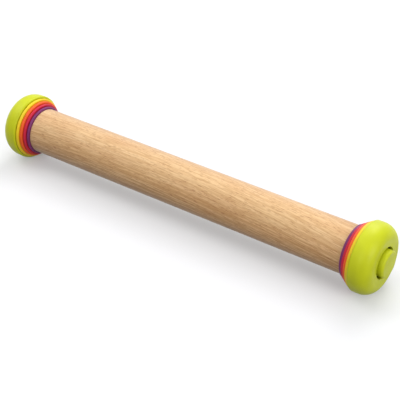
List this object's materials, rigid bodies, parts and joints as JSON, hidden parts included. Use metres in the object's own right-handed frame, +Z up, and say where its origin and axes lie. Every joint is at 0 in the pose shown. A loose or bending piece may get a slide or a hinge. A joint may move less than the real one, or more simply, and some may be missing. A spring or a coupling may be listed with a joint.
{
  "type": "adjustable rolling pin",
  "caption": "Straight beech roller with stepped coloured rings, a rounded disc and a screw-in knob at each end; the widest ring left on sets the dough thickness.",
  "frame": {"origin": "middle of the roller's axis", "axes": "+X along the roller, +Z up; the pin lies on its two end discs"},
  "size_m": [0.427, 0.065, 0.065],
  "materials": {
    "beech": "fine sanded, lightly oiled",
    "purple_plastic": "satin moulded",
    "red_plastic": "satin moulded",
    "orange_plastic": "satin moulded",
    "yellow_plastic": "satin moulded",
    "green_plastic": "satin moulded",
    "white_plastic": "plain moulded"
  },
  "bodies": {
    "roller": {"roller": "beech", "thread_insert_right": "white_plastic", "thread_insert_left": "white_plastic"},
    "ring_2mm_right": {"ring_2mm_right": "purple_plastic"},
    "ring_4mm_right": {"ring_4mm_right": "red_plastic"},
    "ring_6mm_right": {"ring_6mm_right": "orange_plastic"},
    "ring_8mm_right": {"ring_8mm_right": "yellow_plastic"},
    "end_disc_right": {"end_disc_right": "green_plastic"},
    "knob_right": {"knob_right": "green_plastic", "knob_stud_right": "white_plastic"},
    "ring_2mm_left": {"ring_2mm_left": "purple_plastic"},
    "ring_4mm_left": {"ring_4mm_left": "red_plastic"},
    "ring_6mm_left": {"ring_6mm_left": "orange_plastic"},
    "ring_8mm_left": {"ring_8mm_left": "yellow_plastic"},
    "end_disc_left": {"end_disc_left": "green_plastic"},
    "knob_left": {"knob_left": "green_plastic", "knob_stud_left": "white_plastic"}
  },
  "joints": [
    {"name": "ring_2mm_slide_right", "type": "slide", "parent": "roller", "child": "ring_2mm_right", "axis": [1, 0, 0], "range_m": [0, 0.003]},
    {"name": "ring_4mm_slide_right", "type": "slide", "parent": "roller", "child": "ring_4mm_right", "axis": [1, 0, 0], "range_m": [0, 0.006]},
    {"name": "ring_6mm_slide_right", "type": "slide", "parent": "roller", "child": "ring_6mm_right", "axis": [1, 0, 0], "range_m": [0, 0.009]},
    {"name": "ring_8mm_slide_right", "type": "slide", "parent": "roller", "child": "ring_8mm_right", "axis": [1, 0, 0], "range_m": [0, 0.012]},
    {"name": "end_disc_slide_right", "type": "slide", "parent": "roller", "child": "end_disc_right", "axis": [1, 0, 0], "range_m": [0, 0.015]},
    {"name": "knob_turn_right", "type": "hinge", "parent": "end_disc_right", "child": "knob_right", "pos_m": [0.1978, 0, 0], "axis": [1, 0, 0], "range_deg": [0, 900]},
    {"name": "ring_2mm_slide_left", "type": "slide", "parent": "roller", "child": "ring_2mm_left", "axis": [-1, 0, 0], "range_m": [0, 0.003]},
    {"name": "ring_4mm_slide_left", "type": "slide", "parent": "roller", "child": "ring_4mm_left", "axis": [-1, 0, 0], "range_m": [0, 0.006]},
    {"name": "ring_6mm_slide_left", "type": "slide", "parent": "roller", "child": "ring_6mm_left", "axis": [-1, 0, 0], "range_m": [0, 0.009]},
    {"name": "ring_8mm_slide_left", "type": "slide", "parent": "roller", "child": "ring_8mm_left", "axis": [-1, 0, 0], "range_m": [0, 0.012]},
    {"name": "end_disc_slide_left", "type": "slide", "parent": "roller", "child": "end_disc_left", "axis": [-1, 0, 0], "range_m": [0, 0.015]},
    {"name": "knob_turn_left", "type": "hinge", "parent": "end_disc_left", "child": "knob_left", "pos_m": [-0.1978, 0, 0], "axis": [-1, 0, 0], "range_deg": [0, 900]}
  ],
  "couplings": [
    {"joint": "ring_2mm_slide_right", "follows": "end_disc_slide_right", "ratio": 0.2},
    {"joint": "ring_4mm_slide_right", "follows": "end_disc_slide_right", "ratio": 0.4},
    {"joint": "ring_6mm_slide_right", "follows": "end_disc_slide_right", "ratio": 0.6},
    {"joint": "ring_8mm_slide_right", "follows": "end_disc_slide_right", "ratio": 0.8},
    {"joint": "knob_turn_right", "follows": "end_disc_slide_right", "rad_per_m": 1047.2},
    {"joint": "ring_2mm_slide_left", "follows": "end_disc_slide_left", "ratio": 0.2},
    {"joint": "ring_4mm_slide_left", "follows": "end_disc_slide_left", "ratio": 0.4},
    {"joint": "ring_6mm_slide_left", "follows": "end_disc_slide_left", "ratio": 0.6},
    {"joint": "ring_8mm_slide_left", "follows": "end_disc_slide_left", "ratio": 0.8},
    {"joint": "knob_turn_left", "follows": "end_disc_slide_left", "rad_per_m": 1047.2}
  ]
}
